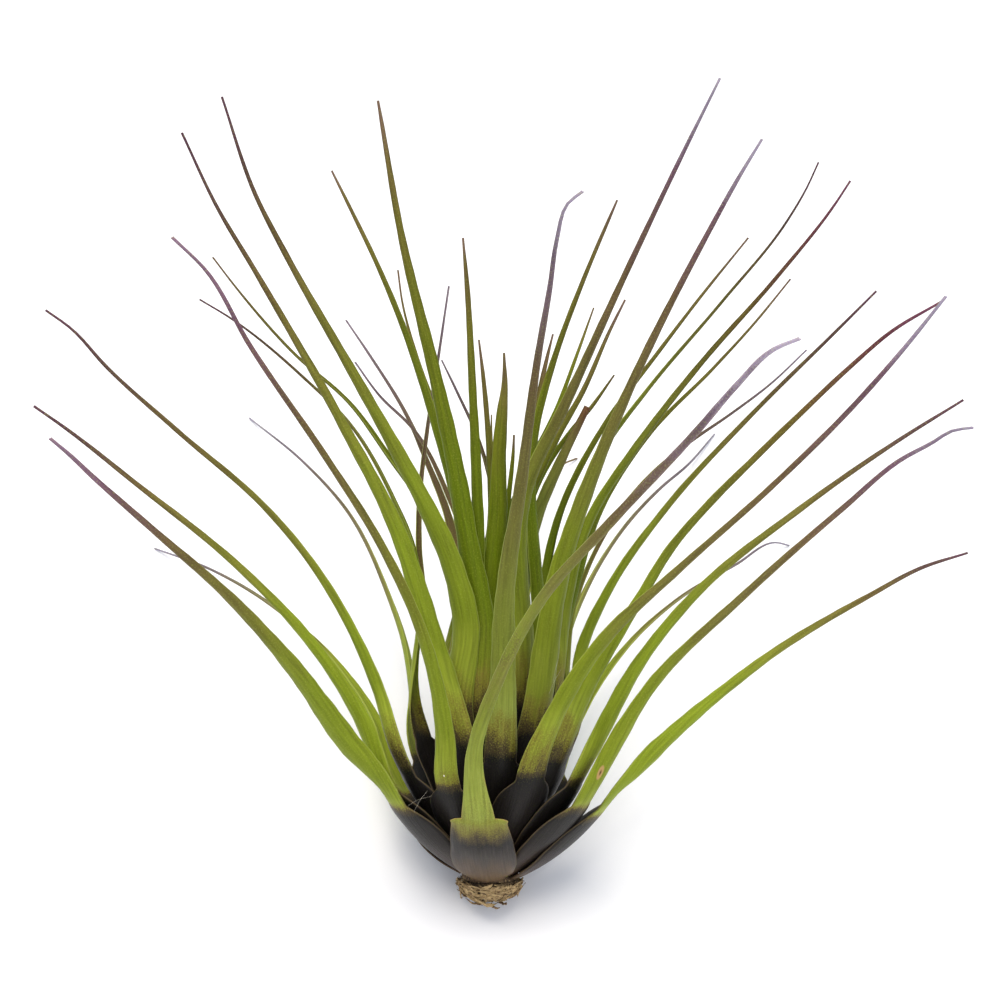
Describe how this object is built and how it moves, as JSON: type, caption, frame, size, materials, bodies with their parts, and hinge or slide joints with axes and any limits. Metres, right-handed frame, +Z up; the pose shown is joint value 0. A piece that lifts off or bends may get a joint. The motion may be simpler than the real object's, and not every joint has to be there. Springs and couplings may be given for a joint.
{
  "type": "air plant rosette",
  "caption": "Bare air plant: a rosette of long narrow channelled leaves that fan out from nested spoon-shaped dark sheaths on a short stem, lying tipped back on its dry root stub.",
  "frame": {"origin": "centre of the plant's footprint box on the surface that it lies on", "axes": "+Z up from that surface, +X to the right across the widest spread of the leaves, and -Y towards the viewer; the stem leans back 40 degrees from +Z towards +Y"},
  "size_m": [0.281, 0.2608, 0.2176],
  "materials": {
    "outer_leaf": "satin",
    "inner_leaf": "satin",
    "stem_wood": "matte",
    "dry_tissue": "matte",
    "dead_root": "matte"
  },
  "bodies": {
    "root": {"dead_root_1": "dead_root", "dead_root_2": "dead_root", "dead_root_3": "dead_root", "dead_root_4": "dead_root", "dead_root_5": "dead_root", "dry_scale_1": "dry_tissue", "dry_scale_2": "dry_tissue", "dry_scale_3": "dry_tissue", "dry_scale_4": "dry_tissue", "dry_scale_5": "dry_tissue", "leaf_back_2": "inner_leaf", "leaf_back_left_2": "outer_leaf", "leaf_back_left_3": "inner_leaf", "leaf_back_left_4": "inner_leaf", "leaf_back_left_5": "inner_leaf", "leaf_back_left_6": "inner_leaf", "leaf_back_left_on_floor": "outer_leaf", "leaf_back_on_floor": "outer_leaf", "leaf_back_right_2": "outer_leaf", "leaf_back_right_3": "inner_leaf", "leaf_back_right_on_floor": "outer_leaf", "leaf_centre_1": "inner_leaf", "leaf_centre_2": "inner_leaf", "leaf_centre_3": "inner_leaf", "leaf_centre_4": "inner_leaf", "leaf_centre_5": "inner_leaf", "leaf_centre_6": "inner_leaf", "leaf_front_left_2": "outer_leaf", "leaf_front_left_3": "inner_leaf", "leaf_front_lowest": "outer_leaf", "leaf_front_right_2": "outer_leaf", "leaf_front_right_3": "inner_leaf", "leaf_front_right_4": "inner_leaf", "leaf_front_right_lowest": "outer_leaf", "leaf_front_upright": "inner_leaf", "leaf_left_2": "outer_leaf", "leaf_left_3": "outer_leaf", "leaf_left_4": "inner_leaf", "leaf_left_5": "inner_leaf", "leaf_left_6": "inner_leaf", "leaf_left_7": "inner_leaf", "leaf_left_lowest": "outer_leaf", "leaf_right_10": "inner_leaf", "leaf_right_11": "inner_leaf", "leaf_right_12": "inner_leaf", "leaf_right_13": "inner_leaf", "leaf_right_2": "outer_leaf", "leaf_right_3": "outer_leaf", "leaf_right_4": "inner_leaf", "leaf_right_5": "inner_leaf", "leaf_right_6": "inner_leaf", "leaf_right_7": "inner_leaf", "leaf_right_8": "inner_leaf", "leaf_right_9": "inner_leaf", "leaf_right_cut_tip": "inner_leaf", "leaf_right_lowest": "outer_leaf", "root_stub": "dry_tissue", "stem": "stem_wood"}
  },
  "joints": []
}
